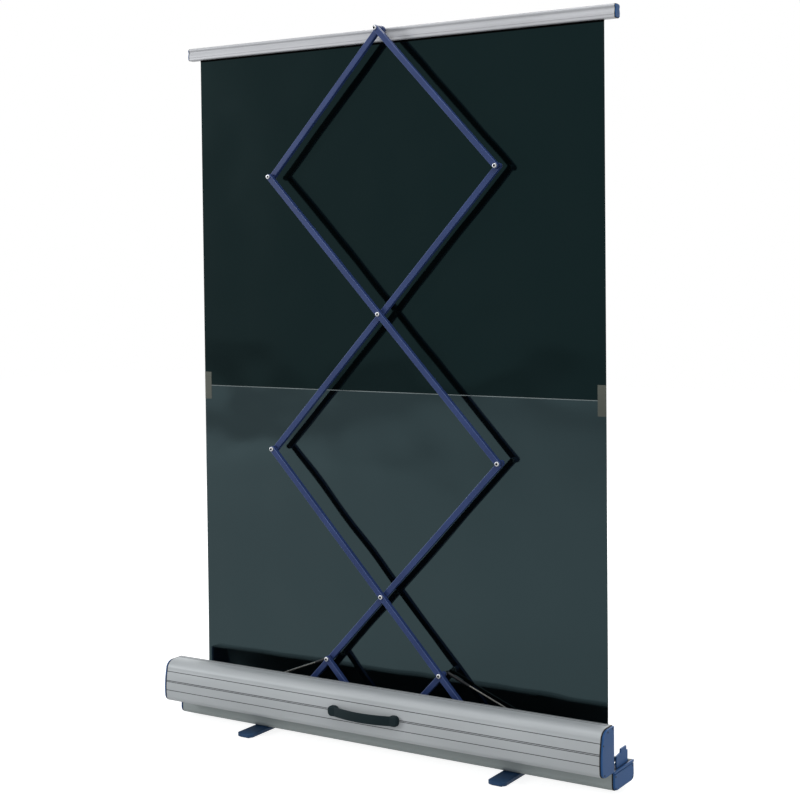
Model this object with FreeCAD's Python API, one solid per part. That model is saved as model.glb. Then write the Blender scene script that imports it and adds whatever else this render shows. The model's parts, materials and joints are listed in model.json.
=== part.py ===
import FreeCAD, Part
import math
import os

from FreeCAD import Vector

# Portable pull-up projection screen, in millimetres.
# +Z is up, the projection side faces -Y, the scissor frame is on the +Y side.
# The origin is on the floor, below the middle of the whole object.

# Sheet, and the case round it: a base trough on the floor, and a lid that stands open behind it
sheet_width = 1300.0
sheet_thickness = 0.6
seam_height = 983.0
sheet_side_margin = 50.0
rear_face_y = 50.0
case_wall = 2.5
end_cap_thickness = 8.0
base_height = 51.0
base_corner_radius = 15.0
base_rim_width = 6.0
base_rim_thickness = 2.5
lid_side_height = 47.0
lid_crown_height = 72.0
lid_shoulder_radius = 36.0
lid_groove_depth = 0.9
lid_groove_heights = (30.6, 53.0, 56.2, 82.8)
lid_rim_groove_inset = 5.0
locating_plate_thickness = 4.0
locating_plate_width = 68.0
locating_plate_rise = 43.0
locating_plate_step = 8.0
locating_plate_step_width = 12.0
locating_plate_rear_gap = 30.0

# Hinge between lid and base: a bead along the base, a hook along the lid
hinge_bead_radius = 3.0
hinge_neck_width = 2.0
hinge_neck_height = 3.0
hinge_hook_wall = 2.0
hinge_hook_from = -60.0
hinge_hook_to = 150.0
lid_mouth_gap = 1.0
lid_below_hinge = 1.0

# Latch clips and carrying handle on the lid
latch_spacing = 800.0
latch_width = 24.0
latch_thickness = 3.0
latch_reach = 8.0
latch_root = 15.0
latch_barb_length = 4.0
latch_barb_height = 2.3
handle_length = 224.0
handle_cap_length = 30.0
handle_cap_width = 28.0
handle_cap_height = 12.0
handle_cap_chamfer = 3.0
handle_strap_width = 24.0
handle_strap_thickness = 5.0
handle_strap_rise = 21.5
handle_strap_end_rise = 4.0

# Feet under the base
foot_length = 280.0
foot_width = 52.0
foot_thickness = 8.5
foot_spacing = 810.0
foot_tip_radius = 14.0
foot_pad_thickness = 3.2
foot_pad_width = 30.0
foot_pad_length = 24.0
foot_pad_inset = 6.0
foot_pin_radius = 4.0
foot_pin_head_radius = 9.0
foot_pin_head_height = 2.4

# Scissor frame: half_arm is the distance from an arm's middle pivot to its end pivot
half_arm = 532.0
arm_angle = 46.7
arm_width = 16.0
arm_depth = 14.0
arm_wall = 1.2
arm_insert = 14.0
layer_gap = 1.5
frame_rear_inset = 17.0
base_pivot_rise = 23.8

# Pivot screws of the scissor frame
screw_radius = 4.0
screw_head_radius = 6.6
screw_head_height = 3.5
screw_nut_width = 12.0
screw_nut_height = 3.7

# Centre bracket, slider shoes and their tracks
bracket_cheek = 3.0
bracket_width = 28.0
bracket_rise = 8.0
shoe_length = 32.0
shoe_cheek = 2.2
shoe_arm_gap = 1.0
track_wall = 2.0
track_height = 9.0
track_overrun = 12.0

# Gas struts from the braces' upper pivots to the ends of the base
strut_anchor_inset = 37.0
strut_anchor_rise = 29.5
strut_radius = 7.0
strut_rod_radius = 3.0
strut_cylinder_length = 300.0
strut_eye = 8.0
strut_eye_wall = 3.0
strut_rod_overlap = 30.0
strut_end_radius = 5.0
anchor_cheek = 3.0
anchor_width = 20.0
anchor_rise = 7.5

# Top bar and apex
bar_cap_length = 4.0
bar_cap_chamfer = 1.5
bar_notch_gap = 0.5
bar_notch_depth = 15.0
bar_depth = 26.0
bar_height = 36.0
bar_wall = 1.8
bar_edge_chamfer = 3.0
bar_groove_depth = 1.2
bar_groove_drop = 9.0
bar_lower_groove_rise = 7.0
bar_slot_width = 1.6
bar_to_frame_gap = 14.5
bar_above_apex = 5.0
apex_plate_width = 30.0
apex_plate_height = 29.0
apex_plate_thickness = 4.0
apex_block_width = 18.0
spline_radius = 2.5

# Tapes on the sheet's seam, and the roller in the trough
tape_width = 24.0
tape_length = 80.0
tape_thickness = 0.5
roller_tube_radius = 16.0
wound_thickness = 2.4
roller_rise = 26.5
roller_front_gap = 6.1
roller_overhang = 5.0
journal_radius = 6.5
journal_length = 14.0
roller_bracket_thickness = 4.0
roller_bracket_width = 40.0
roller_bracket_foot = 16.0
roller_bracket_rise = 14.0

# Clearances
running_clearance = 0.05
seat_clearance = 0.02
body_gap = 0.3

# How far a cutting tool runs past what it cuts, and how near two places count as the same
overshoot = 1.0
same_place = 1e-6

# Places along the case's length and height that follow from the sizes above
case_length = sheet_width + 2 * sheet_side_margin
shell_half_length = case_length / 2 - end_cap_thickness
plate_inner_x = shell_half_length - locating_plate_thickness
strut_anchor_x = shell_half_length - strut_anchor_inset
bar_half_length = case_length / 2 - bar_cap_length
tube_end_x = sheet_width / 2 + roller_overhang
base_bottom_z = foot_pad_thickness + foot_thickness + body_gap
floor_z = base_bottom_z + case_wall
lip_z = base_bottom_z + base_height
pivot_z = floor_z + base_pivot_rise
strut_anchor_z = floor_z + strut_anchor_rise
roller_z = floor_z + roller_rise

# Layers from the case's rear face to its front face
rear_layer_y = rear_face_y - frame_rear_inset - arm_depth
front_layer_y = rear_layer_y - layer_gap - arm_depth
track_half_depth = arm_depth / 2 + 2 * body_gap + shoe_cheek + track_wall
anchor_half_depth = strut_radius + body_gap + anchor_cheek
track_front_y = front_layer_y + arm_depth / 2 - track_half_depth
strut_y = track_front_y - seat_clearance - anchor_half_depth
bar_rear_y = front_layer_y - bar_to_frame_gap
sheet_y = bar_rear_y - bar_depth / 2
wound_radius = roller_tube_radius + wound_thickness
roller_y = sheet_y - sheet_thickness / 2 - body_gap - wound_radius
front_face_y = roller_y - wound_radius - roller_front_gap - case_wall
case_depth = rear_face_y - front_face_y
case_centre_y = (rear_face_y + front_face_y) / 2

# Hinge and lid
hinge_hook_radius = hinge_bead_radius + 2 * running_clearance
hinge_y = rear_face_y - hinge_neck_width / 2
hinge_z = lip_z
rear_wall_top_z = hinge_z - hinge_bead_radius - hinge_neck_height
mouth_y = rear_face_y + lid_mouth_gap
lid_low_z = hinge_z - lid_below_hinge
lid_mid_z = lid_low_z + case_depth / 2
crown_y = mouth_y + lid_crown_height

# Scissor frame and top bar
reach_x = half_arm * math.cos(math.radians(arm_angle))
reach_z = half_arm * math.sin(math.radians(arm_angle))
apex_z = pivot_z + 5 * reach_z
bar_top_z = apex_z + bar_above_apex
bar_low_z = bar_top_z - bar_height


def box(x_range, y_range, z_range):
    """Box between the two ends of each range."""
    size = [high - low for low, high in (x_range, y_range, z_range)]
    return Part.makeBox(*size, Vector(x_range[0], y_range[0], z_range[0]))


def rod_x(y, z, x_range, radius):
    """Round bar along X."""
    return Part.makeCylinder(radius, x_range[1] - x_range[0], Vector(x_range[0], y, z), Vector(1, 0, 0))


def rod_y(x, z, y_range, radius):
    """Round bar along Y."""
    return Part.makeCylinder(radius, y_range[1] - y_range[0], Vector(x, y_range[0], z), Vector(0, 1, 0))


def rod_z(x, y, z_range, radius):
    """Round bar along Z."""
    return Part.makeCylinder(radius, z_range[1] - z_range[0], Vector(x, y, z_range[0]), Vector(0, 0, 1))


def face_from(start, steps):
    """Closed flat face: each step is an end point of a line, or a (middle, end) pair of an arc."""
    edges = []
    here = start
    for step in steps:
        if isinstance(step, tuple):
            middle, end = step
            edges.append(Part.Arc(here, middle, end).toShape())
        else:
            end = step
            edges.append(Part.LineSegment(here, end).toShape())
        here = end
    if not here.isEqual(start, same_place):
        edges.append(Part.LineSegment(here, start).toShape())
    return Part.Face(Part.Wire(edges))


def groove_x(y, z, x_range, depth):
    """Cutter of square section along X, set on its corner, for a groove with sloping sides."""
    x = x_range[0]
    corners = [Vector(x, y, z - depth), Vector(x, y + depth, z), Vector(x, y, z + depth)]
    face = face_from(Vector(x, y - depth, z), corners)
    return face.extrude(Vector(x_range[1] - x_range[0], 0, 0))


def along_x(edge):
    """True for a straight edge that runs along X."""
    if len(edge.Vertexes) != 2:
        return False
    run = edge.Vertexes[1].Point - edge.Vertexes[0].Point
    return abs(run.y) < same_place and abs(run.z) < same_place


def end_ranges(inner, thickness):
    """X ranges of a pair of plates that start at +inner and at -inner."""
    return ((-inner - thickness, -inner), (inner, inner + thickness))


def rounded_trough(inset, x_range, top_z):
    """Solid of the base's outline, drawn in by inset, with round lower corners."""
    rear = rear_face_y - inset
    front = front_face_y + inset
    low = base_bottom_z + inset
    radius = base_corner_radius - inset
    bend = radius * (1 - math.sqrt(0.5))
    x = x_range[0]
    face = face_from(Vector(x, rear, top_z), [
        Vector(x, rear, low + radius),
        (Vector(x, rear - bend, low + bend), Vector(x, rear - radius, low)),
        Vector(x, front + radius, low),
        (Vector(x, front + bend, low + bend), Vector(x, front, low + radius)),
        Vector(x, front, top_z),
    ])
    return face.extrude(Vector(x_range[1] - x_range[0], 0, 0))


def inside_trough(solid):
    """The part of a solid that lies inside the trough's walls."""
    ends = (-shell_half_length, shell_half_length)
    return solid.common(rounded_trough(case_wall, ends, lip_z))


def foot_pin(side):
    """Headed pin, riveted in the base's floor, that a foot turns on."""
    x = side * foot_spacing / 2
    head_top = foot_pad_thickness - body_gap
    head_low = head_top - foot_pin_head_height
    head = rod_z(x, case_centre_y, (head_low, head_top), foot_pin_head_radius)
    return head.fuse(rod_z(x, case_centre_y, (head_low, floor_z), foot_pin_radius))


def base_shell():
    """Extruded trough with a front rim and the hinge bead along its rear lip."""
    ends = (-shell_half_length, shell_half_length)
    shell = rounded_trough(0, ends, lip_z).cut(rounded_trough(case_wall, ends, lip_z + overshoot))
    rear_cut = box(ends, (rear_face_y - case_wall - overshoot, rear_face_y + overshoot),
                   (rear_wall_top_z, lip_z + overshoot))
    shell = shell.cut(rear_cut)
    rim = box(ends, (front_face_y, front_face_y + base_rim_width), (lip_z - base_rim_thickness, lip_z))
    hinge_ends = (-shell_half_length + body_gap, shell_half_length - body_gap)
    neck = box(hinge_ends, (hinge_y - hinge_neck_width / 2, hinge_y + hinge_neck_width / 2),
               (rear_wall_top_z - case_wall, hinge_z))
    bead = rod_x(hinge_y, hinge_z, hinge_ends, hinge_bead_radius)
    shell = shell.fuse([rim, neck, bead]).removeSplitter()
    return shell.fuse([foot_pin(side) for side in (-1, 1)]).removeSplitter()


def base_end_cap(side):
    """End cap of the base with the stepped locating plate that guides the closing lid."""
    x_range = end_ranges(shell_half_length, end_cap_thickness)[side > 0]
    cap = rounded_trough(0, x_range, lip_z)
    plate_x = end_ranges(plate_inner_x, locating_plate_thickness)[side > 0]
    rear = rear_face_y - locating_plate_rear_gap
    front = rear - locating_plate_width
    top = lip_z + locating_plate_rise
    x = plate_x[0]
    face = face_from(Vector(x, rear, floor_z + body_gap), [
        Vector(x, rear, top - locating_plate_step),
        Vector(x, rear - locating_plate_step_width, top),
        Vector(x, front, top),
        Vector(x, front, floor_z + body_gap),
    ])
    return cap.fuse(face.extrude(Vector(locating_plate_thickness, 0, 0))).removeSplitter()


def lid_solid(inset, x_range, mouth_shift):
    """Solid of the lid's crowned outline, drawn in by inset, with its mouth moved by mouth_shift."""
    low = lid_low_z + inset
    high = lid_low_z + case_depth - inset
    side_y = mouth_y + lid_side_height - inset
    x = x_range[0]
    face = face_from(Vector(x, mouth_y - mouth_shift, low), [
        Vector(x, side_y, low),
        (Vector(x, crown_y - inset, lid_mid_z), Vector(x, side_y, high)),
        Vector(x, mouth_y - mouth_shift, high),
    ])
    solid = face.extrude(Vector(x_range[1] - x_range[0], 0, 0))
    shoulders = [e for e in solid.Edges if along_x(e) and abs(e.CenterOfMass.y - side_y) < same_place]
    return solid.makeFillet(lid_shoulder_radius - inset, shoulders)


def lid_face_y(height):
    """Y of the lid's crowned outer face at a height above the lid's lower edge."""
    rise = lid_crown_height - lid_side_height
    radius = ((case_depth / 2) ** 2 + rise ** 2) / (2 * rise)
    return crown_y - radius + math.sqrt(radius ** 2 - (height - case_depth / 2) ** 2)


def hinge_hook(x_range):
    """Hook of the lid round the hinge bead, open towards the base."""
    x = x_range[0]
    outer = hinge_hook_radius + hinge_hook_wall

    def at(radius, degrees):
        turn = math.radians(degrees)
        return Vector(x, hinge_y + radius * math.cos(turn), hinge_z + radius * math.sin(turn))

    middle = (hinge_hook_from + hinge_hook_to) / 2
    face = face_from(at(hinge_hook_radius, hinge_hook_from), [
        at(outer, hinge_hook_from),
        (at(outer, middle), at(outer, hinge_hook_to)),
        at(hinge_hook_radius, hinge_hook_to),
        (at(hinge_hook_radius, middle), at(hinge_hook_radius, hinge_hook_from)),
    ])
    return face.extrude(Vector(x_range[1] - x_range[0], 0, 0))


def lid_shell():
    """Extruded lid with its grooves and the hook that hangs on the base's bead."""
    ends = (-shell_half_length, shell_half_length)
    shell = lid_solid(0, ends, 0).cut(lid_solid(case_wall, ends, overshoot))
    for height in lid_groove_heights:
        shell = shell.cut(groove_x(lid_face_y(height), lid_low_z + height, ends, lid_groove_depth))
    rim_y = mouth_y + lid_rim_groove_inset
    shell = shell.cut(groove_x(rim_y, lid_low_z + case_depth, ends, lid_groove_depth))
    bead_room = rod_x(hinge_y, hinge_z, ends, hinge_hook_radius)
    hook = hinge_hook((-shell_half_length + body_gap, shell_half_length - body_gap))
    return shell.cut(bead_room).fuse(hook).removeSplitter()


def lid_end_cap(side):
    """Crowned end cap of the lid."""
    return lid_solid(0, end_ranges(shell_half_length, end_cap_thickness)[side > 0], 0)


def latch_clips():
    """Two spring clips inside the lid's free edge, with barbs for the base's front rim."""
    top = lid_low_z + case_depth - case_wall
    clips = []
    for side in (-1, 1):
        x_range = (side * latch_spacing / 2 - latch_width / 2, side * latch_spacing / 2 + latch_width / 2)
        tip_y = mouth_y - latch_reach
        blade = box(x_range, (tip_y, mouth_y + latch_root), (top - latch_thickness, top))
        x = x_range[0]
        barb = face_from(Vector(x, tip_y, top), [
            Vector(x, tip_y + latch_barb_length, top + latch_barb_height),
            Vector(x, tip_y + latch_barb_length, top),
        ]).extrude(Vector(latch_width, 0, 0))
        clips.append(blade.fuse(barb).removeSplitter())
    return clips


def handle_strap():
    """Carrying strap, bowed away from the lid's crown between its end caps."""
    half = handle_length / 2 - handle_cap_length / 2
    low_z = lid_mid_z - handle_strap_width / 2
    inner_end = crown_y + handle_strap_end_rise
    inner_mid = crown_y + handle_strap_rise
    outer = handle_strap_thickness
    face = face_from(Vector(-half, inner_end, low_z), [
        (Vector(0, inner_mid, low_z), Vector(half, inner_end, low_z)),
        Vector(half, inner_end + outer, low_z),
        (Vector(0, inner_mid + outer, low_z), Vector(-half, inner_end + outer, low_z)),
    ])
    return face.extrude(Vector(0, 0, handle_strap_width))


def handle_caps(strap):
    """Two moulded caps that hold the strap's ends on the lid."""
    lid = lid_solid(0, (-handle_length, handle_length), 0)
    caps = []
    for side in (-1, 1):
        middle = side * (handle_length - handle_cap_length) / 2
        x_range = (middle - handle_cap_length / 2, middle + handle_cap_length / 2)
        z_range = (lid_mid_z - handle_cap_width / 2, lid_mid_z + handle_cap_width / 2)
        inner_y = crown_y - handle_cap_chamfer
        block = box(x_range, (inner_y, crown_y + handle_cap_height), z_range)
        edges = [e for e in block.Edges if e.CenterOfMass.y > inner_y + same_place]
        caps.append(block.makeChamfer(handle_cap_chamfer, edges).cut(lid).cut(strap))
    return caps


def foot(side):
    """Flat swivel foot with rounded tips, drilled for its pin."""
    middle_x = side * foot_spacing / 2
    top = foot_pad_thickness + foot_thickness
    blank = box((middle_x - foot_width / 2, middle_x + foot_width / 2),
                (case_centre_y - foot_length / 2, case_centre_y + foot_length / 2), (foot_pad_thickness, top))
    corners = [e for e in blank.Edges if abs(e.Vertexes[0].Z - e.Vertexes[1].Z) > same_place]
    hole = rod_z(middle_x, case_centre_y, (0, top + overshoot), foot_pin_radius + running_clearance)
    return blank.makeFillet(foot_tip_radius, corners).cut(hole)


def foot_pads(side):
    """Two rubber pads under a foot's tips."""
    middle_x = side * foot_spacing / 2
    x_range = (middle_x - foot_pad_width / 2, middle_x + foot_pad_width / 2)
    outer = foot_length / 2 - foot_pad_inset
    inner = outer - foot_pad_length
    front = (case_centre_y - outer, case_centre_y - inner)
    rear = (case_centre_y + inner, case_centre_y + outer)
    return [box(x_range, y_range, (0, foot_pad_thickness)) for y_range in (front, rear)]


def along_and_across(start, end):
    """Unit vectors along and across a bar between two (x, z) points."""
    run = Vector(end[0] - start[0], 0, end[1] - start[1])
    along = run / run.Length
    return along, Vector(-along.z, 0, along.x)


def slot_prism(start, end, half_width, y_range):
    """Bar with half-round ends between two (x, z) points."""
    along, across = along_and_across(start, end)
    low = Vector(start[0], y_range[0], start[1])
    high = Vector(end[0], y_range[0], end[1])
    face = face_from(low + across * half_width, [
        (low - along * half_width, low - across * half_width),
        high - across * half_width,
        (high + along * half_width, high + across * half_width),
    ])
    return face.extrude(Vector(0, y_range[1] - y_range[0], 0))


def arm_hollow(start, end, layer_y):
    """Hollow of an arm's tube between the inserts at two neighbouring pivots."""
    along, across = along_and_across(start, end)
    half_width = arm_width / 2 - arm_wall
    low = Vector(start[0], layer_y + arm_wall, start[1]) + along * arm_insert
    high = Vector(end[0], layer_y + arm_wall, end[1]) - along * arm_insert
    face = face_from(low + across * half_width, [
        low - across * half_width,
        high - across * half_width,
        high + across * half_width,
    ])
    return face.extrude(Vector(0, arm_depth - 2 * arm_wall, 0))


def headed_pin(point, tip_y, head_y):
    """Round pin along Y with a plain head at its rear end."""
    x, z = point
    shank = rod_y(x, z, (tip_y, head_y + screw_head_height), screw_radius)
    head = rod_y(x, z, (head_y, head_y + screw_head_height), screw_head_radius)
    return shank.fuse(head).removeSplitter()


def frame_screw(point):
    """Screw of a rear arm: its head on the arm's rear face, its hexagonal nut in front of the front layer."""
    x, z = point
    corner = screw_nut_width / math.sqrt(3)
    tip_y = front_layer_y - body_gap - screw_nut_height
    ring = [Vector(x + corner * math.cos(turn), tip_y, z + corner * math.sin(turn))
            for turn in (math.radians(60 * k) for k in range(6))]
    nut = face_from(ring[0], ring[1:]).extrude(Vector(0, screw_nut_height, 0))
    pin = headed_pin(point, tip_y, rear_layer_y + arm_depth)
    return pin.fuse(nut).removeSplitter()


def arm(layer_y, pivots, screws=()):
    """Tube with round ends and a solid insert at each pivot: some carry a screw, the rest are drilled."""
    tube = slot_prism(pivots[0], pivots[-1], arm_width / 2, (layer_y, layer_y + arm_depth))
    for start, end in zip(pivots, pivots[1:]):
        tube = tube.cut(arm_hollow(start, end, layer_y))
    hole_range = (layer_y - overshoot, layer_y + arm_depth + overshoot)
    for pivot in pivots:
        if pivot in screws:
            tube = tube.fuse(frame_screw(pivot))
        else:
            tube = tube.cut(rod_y(*pivot, hole_range, screw_radius + running_clearance))
    return tube.removeSplitter()


def base_bracket():
    """U bracket on the trough's floor with the headed pin that the braces turn on."""
    rear = (rear_layer_y + arm_depth + body_gap, rear_layer_y + arm_depth + body_gap + bracket_cheek)
    front = (front_layer_y - body_gap - bracket_cheek, front_layer_y - body_gap)
    x_range = (-bracket_width / 2, bracket_width / 2)
    plate = box(x_range, (front[0], rear[1]), (floor_z, floor_z + bracket_cheek))
    stands = [box(x_range, cheek, (floor_z, pivot_z + bracket_rise)) for cheek in (rear, front)]
    pin = headed_pin((0, pivot_z), front[0], rear[1])
    return inside_trough(plate.fuse(stands + [pin]).removeSplitter())


def slide_track(layer_y, side):
    """U channel on the trough's floor that guides a slider shoe."""
    half = track_half_depth - track_wall
    middle = layer_y + arm_depth / 2
    inner_end = reach_x - shoe_length / 2 - track_overrun
    outer_end = half_arm + shoe_length / 2 + track_overrun
    x_range = tuple(sorted((side * inner_end, side * outer_end)))
    channel = box(x_range, (middle - track_half_depth, middle + track_half_depth),
                  (floor_z, floor_z + track_height))
    groove = box((x_range[0] - overshoot, x_range[1] + overshoot), (middle - half, middle + half),
                 (floor_z + track_wall, floor_z + track_height + overshoot))
    return inside_trough(channel.cut(groove))


def slider_shoe(layer_y, x):
    """Fork on a lower arm's end, with its own pin, that runs in a track."""
    middle = layer_y + arm_depth / 2
    fork = arm_depth / 2 + body_gap
    half = fork + shoe_cheek
    low = floor_z + track_wall + body_gap
    top = pivot_z - arm_width / 2 - shoe_arm_gap
    shoe = box((x - shoe_length / 2, x + shoe_length / 2), (middle - half, middle + half), (low, top))
    cheeks = [box((x - arm_width / 2, x + arm_width / 2), y_range, (low, pivot_z + arm_width / 2))
              for y_range in ((middle - half, middle - fork), (middle + fork, middle + half))]
    pin = rod_y(x, pivot_z, (middle - fork, middle + fork), screw_radius)
    return shoe.fuse(cheeks + [pin]).removeSplitter()


def strut_axis(side):
    """Anchor point, brace pivot and unit direction of a gas strut at rest."""
    anchor = Vector(side * strut_anchor_x, strut_y, strut_anchor_z)
    tip = Vector(side * reach_x / 2, strut_y, pivot_z + reach_z / 2)
    run = tip - anchor
    return anchor, tip, run / run.Length


def strut_cylinder(side):
    """Barrel of a gas strut, bored for its rod and cross-drilled for the anchor pin."""
    anchor, tip, along = strut_axis(side)
    barrel = Part.makeCylinder(strut_radius, strut_cylinder_length, anchor - along * strut_eye, along)
    bore = Part.makeCylinder(strut_rod_radius + running_clearance, strut_cylinder_length,
                             anchor + along * (strut_eye + strut_eye_wall), along)
    pin_hole = rod_y(anchor.x, anchor.z, (strut_y - strut_radius, strut_y + strut_radius),
                     screw_radius + running_clearance)
    return barrel.cut(bore).cut(pin_hole)


def strut_rod(side):
    """Rod of a gas strut with the round end that sits in front of the brace pivot's nut."""
    anchor, tip, along = strut_axis(side)
    rod_start = anchor + along * (strut_cylinder_length - strut_eye - strut_rod_overlap)
    rod = Part.makeCylinder(strut_rod_radius, (tip - rod_start).Length, rod_start, along)
    end_y = front_layer_y - 2 * body_gap - screw_nut_height
    end = rod_y(tip.x, tip.z, (strut_y - strut_end_radius, end_y), strut_end_radius)
    return rod.fuse(end).removeSplitter()


def strut_anchors():
    """Clevises on the trough's floor that carry the struts' outer ends, with their pins."""
    solids = []
    outer = anchor_half_depth
    inner = outer - anchor_cheek
    for side in (-1, 1):
        x = side * strut_anchor_x
        x_range = (x - anchor_width / 2, x + anchor_width / 2)
        plate = box(x_range, (strut_y - outer, strut_y + outer), (floor_z, floor_z + anchor_cheek))
        stands = [box(x_range, y_range, (floor_z, strut_anchor_z + anchor_rise))
                  for y_range in ((strut_y - outer, strut_y - inner), (strut_y + inner, strut_y + outer))]
        pin = rod_y(x, strut_anchor_z, (strut_y - inner, strut_y + inner), screw_radius)
        solids.append(plate.fuse(stands + [pin]).removeSplitter())
    return solids


def bar_solid(inset, x_range):
    """Solid of the top bar's outline, drawn in by inset, with chamfered long edges."""
    solid = box(x_range, (bar_rear_y - bar_depth + inset, bar_rear_y - inset),
                (bar_low_z + inset, bar_top_z - inset))
    edges = [e for e in solid.Edges if along_x(e)]
    return solid.makeChamfer(bar_edge_chamfer - inset * (2 - math.sqrt(2)), edges)


def top_bar():
    """Hollow extrusion with long grooves, a slot below for the sheet, and notches over the locating plates."""
    ends = (-bar_half_length, bar_half_length)
    cut_ends = (-bar_half_length - overshoot, bar_half_length + overshoot)
    bar = bar_solid(0, ends).cut(bar_solid(bar_wall, cut_ends))
    slot = box(cut_ends, (sheet_y - bar_slot_width / 2, sheet_y + bar_slot_width / 2),
               (bar_low_z - overshoot, bar_low_z + bar_wall + overshoot))
    bar = bar.cut(slot)
    notch_width = locating_plate_thickness + 2 * bar_notch_gap
    for notch_ends in end_ranges(plate_inner_x - bar_notch_gap, notch_width):
        bar = bar.cut(box(notch_ends, (bar_rear_y - bar_depth - overshoot, bar_rear_y + overshoot),
                          (bar_low_z - overshoot, bar_low_z + bar_notch_depth)))
    for y in (bar_rear_y, bar_rear_y - bar_depth):
        for z in (bar_top_z - bar_groove_drop, bar_low_z + bar_lower_groove_rise):
            bar = bar.cut(groove_x(y, z, ends, bar_groove_depth))
    return bar


def bar_end_cap(side):
    """Moulded cap on an end of the top bar."""
    cap = bar_solid(0, end_ranges(bar_half_length, bar_cap_length)[side > 0])
    outer_x = side * case_length / 2
    outer_edges = [e for e in cap.Edges if abs(e.CenterOfMass.x - outer_x) < same_place]
    return cap.makeChamfer(bar_cap_chamfer, outer_edges)


def sheet_spline():
    """Round spline inside the top bar that keeps the sheet's edge in its slot."""
    z = bar_low_z + bar_wall + spline_radius + seat_clearance
    return rod_x(sheet_y, z, (-sheet_width / 2, sheet_width / 2), spline_radius)


def apex_bracket():
    """Plate on the bar's rear face, its block, and the headed pin that the top arms turn on."""
    half = apex_block_width / 2
    plate_top = apex_z + half
    plate = box((-apex_plate_width / 2, apex_plate_width / 2),
                (bar_rear_y, bar_rear_y + apex_plate_thickness),
                (plate_top - apex_plate_height, plate_top))
    block = box((-half, half), (bar_rear_y, front_layer_y - body_gap), (apex_z - half, plate_top))
    pin = headed_pin((0, apex_z), bar_rear_y, rear_layer_y + arm_depth + body_gap)
    return plate.fuse([block, pin]).removeSplitter()


def hanging_sheet(low_z, high_z):
    """Flat part of the sheet between two heights."""
    return box((-sheet_width / 2, sheet_width / 2),
               (sheet_y - sheet_thickness / 2, sheet_y + sheet_thickness / 2),
               (low_z, high_z))


def seam_tapes():
    """Reinforcing tapes over the seam's two ends, on the rear side."""
    low_y = sheet_y + sheet_thickness / 2
    tapes = []
    for side in (-1, 1):
        x_range = tuple(sorted((side * sheet_width / 2, side * (sheet_width / 2 - tape_width))))
        tapes.append(box(x_range, (low_y, low_y + tape_thickness),
                         (seam_height - tape_length / 2, seam_height + tape_length / 2)))
    return tapes


def roller_tube():
    """Closed roller with a journal at each end."""
    journal_end = tube_end_x + journal_length
    journals = rod_x(roller_y, roller_z, (-journal_end, journal_end), journal_radius)
    tube = rod_x(roller_y, roller_z, (-tube_end_x, tube_end_x), roller_tube_radius)
    return tube.fuse(journals).removeSplitter()


def wound_sheet():
    """Turns of the sheet that stay on the roller, as one sleeve."""
    half = sheet_width / 2
    sleeve = rod_x(roller_y, roller_z, (-half, half), wound_radius)
    return sleeve.cut(rod_x(roller_y, roller_z, (-half, half), roller_tube_radius + seat_clearance))


def roller_bracket(side):
    """Upright plate with a foot on the trough's floor, bored for the roller's journal."""
    inner = tube_end_x + body_gap
    x_range = end_ranges(inner, roller_bracket_thickness)[side > 0]
    foot_x = end_ranges(inner, roller_bracket_foot)[side > 0]
    y_range = (roller_y - roller_bracket_width / 2, roller_y + roller_bracket_width / 2)
    plate = box(x_range, y_range, (floor_z, roller_z + roller_bracket_rise))
    base = box(foot_x, y_range, (floor_z, floor_z + roller_bracket_thickness))
    bore_x = (foot_x[0] - overshoot, foot_x[1] + overshoot)
    bore = rod_x(roller_y, roller_z, bore_x, journal_radius + running_clearance)
    return inside_trough(plate.fuse(base).removeSplitter().cut(bore))


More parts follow.
